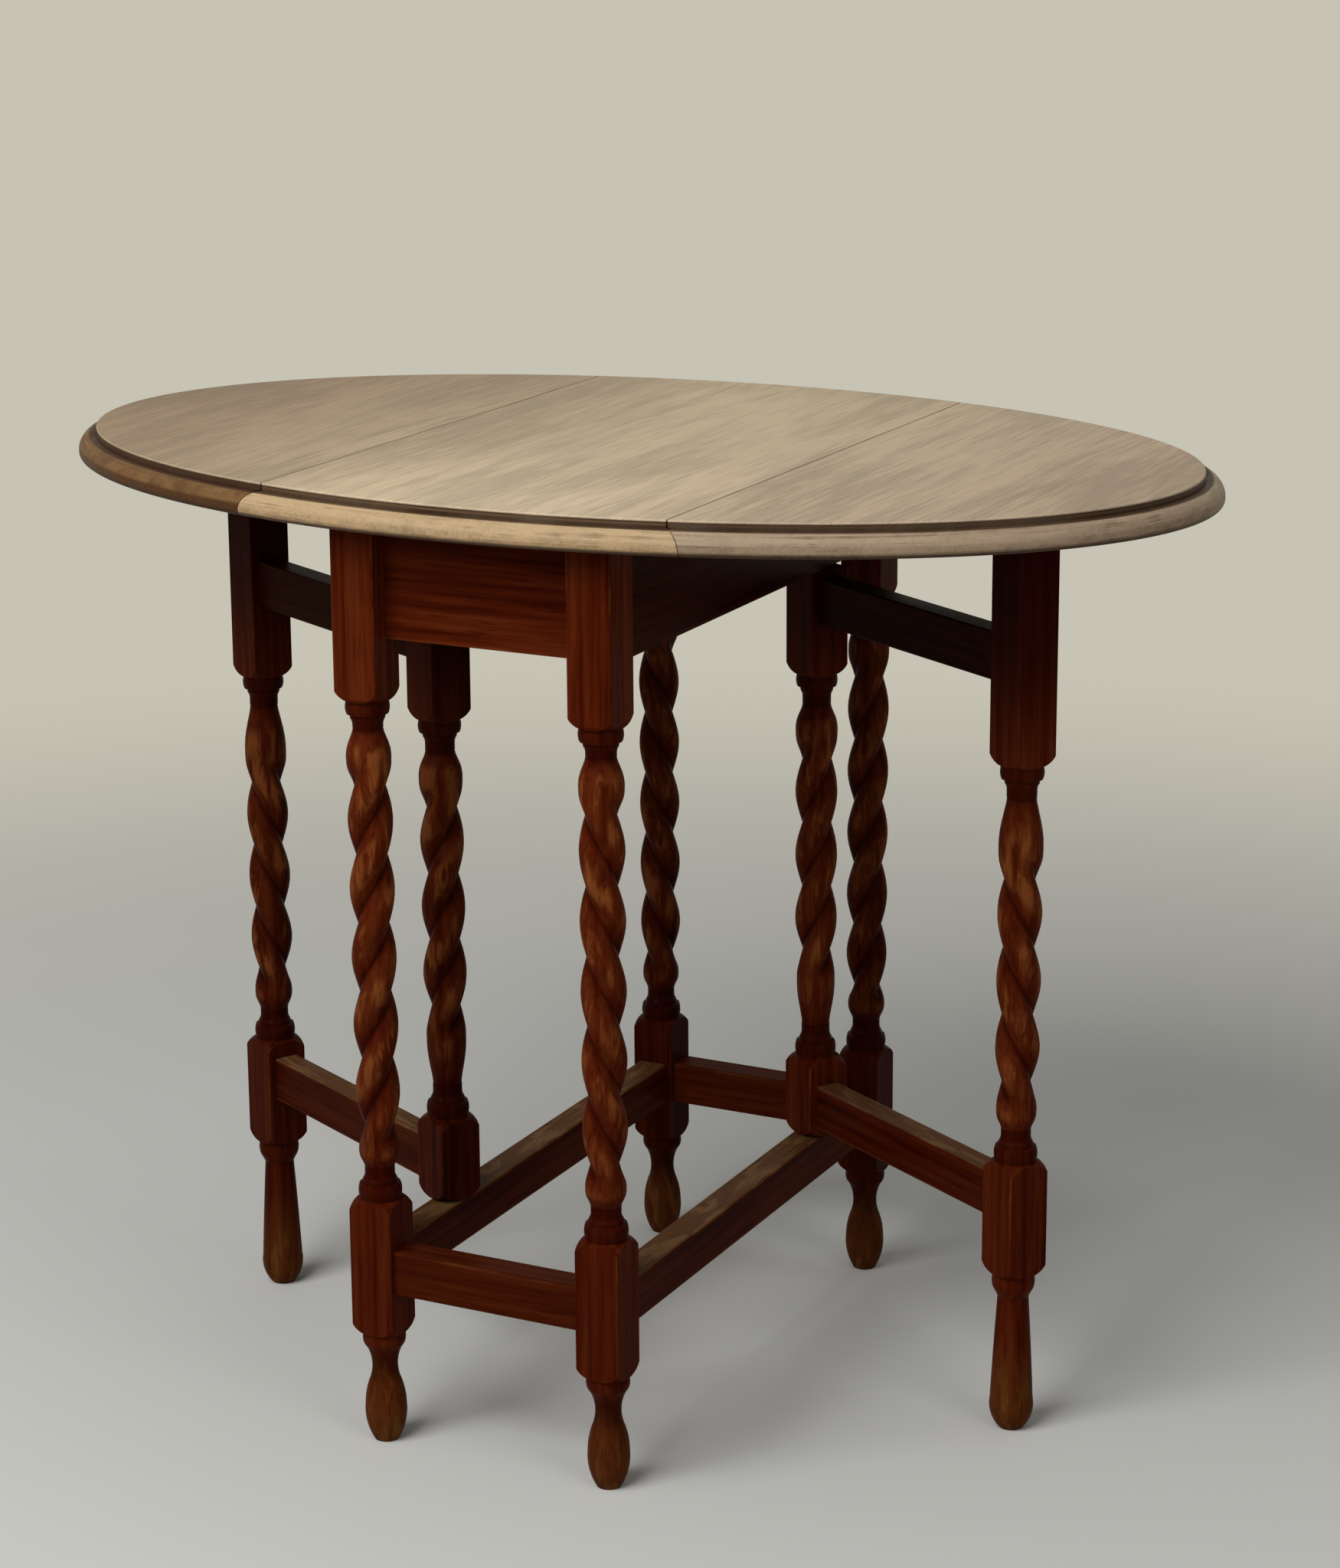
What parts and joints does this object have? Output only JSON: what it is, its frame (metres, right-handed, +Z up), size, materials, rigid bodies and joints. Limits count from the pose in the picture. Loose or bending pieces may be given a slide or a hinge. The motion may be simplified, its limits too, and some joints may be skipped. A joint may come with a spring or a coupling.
{
  "type": "gate-leg drop-leaf table",
  "caption": "Oval drop-leaf table on barley-twist legs, with hinged leaves held up by swinging gate legs, a stepped and rounded rim, aprons and low stretchers.",
  "frame": {"origin": "floor point under the middle of the oval top", "axes": "+Z up, +X across the hinge lines along the oval's long axis, +Y along the hinge lines"},
  "size_m": [0.896, 0.578, 0.72],
  "materials": {
    "top_oak": "bleached oak, dull",
    "base_oak": "dark stained oak, satin",
    "plain_oak": "unstained oak, sawn",
    "hinge_iron": "browned iron, dull",
    "screw_steel": "aged steel"
  },
  "bodies": {
    "frame": {"apron_back": "base_oak", "apron_front": "base_oak", "apron_left": "base_oak", "apron_right": "base_oak", "centre_panel": "top_oak", "fixing_block_left_back": "plain_oak", "fixing_block_left_front": "plain_oak", "fixing_block_right_back": "plain_oak", "fixing_block_right_front": "plain_oak", "hinge_plate_left_back": "hinge_iron", "hinge_plate_left_front": "hinge_iron", "hinge_plate_right_back": "hinge_iron", "hinge_plate_right_front": "hinge_iron", "hinge_screws_panel": "screw_steel", "leg_back_left": "base_oak", "leg_back_right": "base_oak", "leg_front_left": "base_oak", "leg_front_right": "base_oak", "stretcher_back": "base_oak", "stretcher_front": "base_oak", "stretcher_left": "base_oak", "stretcher_right": "base_oak", "top_screws": "screw_steel"},
    "left_gate": {"gate_leg_left": "base_oak", "gate_lower_rail_left": "base_oak", "gate_post_left": "base_oak", "gate_upper_rail_left": "base_oak", "pivot_pin_lower_left": "base_oak", "pivot_pin_upper_left": "base_oak"},
    "right_gate": {"gate_leg_right": "base_oak", "gate_lower_rail_right": "base_oak", "gate_post_right": "base_oak", "gate_upper_rail_right": "base_oak", "pivot_pin_lower_right": "base_oak", "pivot_pin_upper_right": "base_oak"},
    "left_leaf": {"hinge_flap_left_back": "hinge_iron", "hinge_flap_left_front": "hinge_iron", "hinge_pin_left_back": "hinge_iron", "hinge_pin_left_front": "hinge_iron", "hinge_screws_leaf_left": "screw_steel", "leaf_left": "top_oak", "leaf_stop_left": "plain_oak", "leaf_stop_screws_left": "screw_steel"},
    "right_leaf": {"hinge_flap_right_back": "hinge_iron", "hinge_flap_right_front": "hinge_iron", "hinge_pin_right_back": "hinge_iron", "hinge_pin_right_front": "hinge_iron", "hinge_screws_leaf_right": "screw_steel", "leaf_right": "top_oak", "leaf_stop_right": "plain_oak", "leaf_stop_screws_right": "screw_steel"}
  },
  "joints": [
    {"name": "left_gate_swing", "type": "hinge", "parent": "frame", "child": "left_gate", "pos_m": [-0.096, -0.123, 0.1547], "axis": [0, 0, 1], "range_deg": [-56, 0]},
    {"name": "right_gate_swing", "type": "hinge", "parent": "frame", "child": "right_gate", "pos_m": [0.096, 0.123, 0.1547], "axis": [0, 0, 1], "range_deg": [-52.5, 0]},
    {"name": "left_leaf_lift", "type": "hinge", "parent": "frame", "child": "left_leaf", "pos_m": [-0.1575, 0, 0.7009], "axis": [0, 1, 0], "range_deg": [0, 2.5]},
    {"name": "right_leaf_lift", "type": "hinge", "parent": "frame", "child": "right_leaf", "pos_m": [0.1575, 0, 0.7009], "axis": [0, -1, 0], "range_deg": [0, 2.5]}
  ]
}
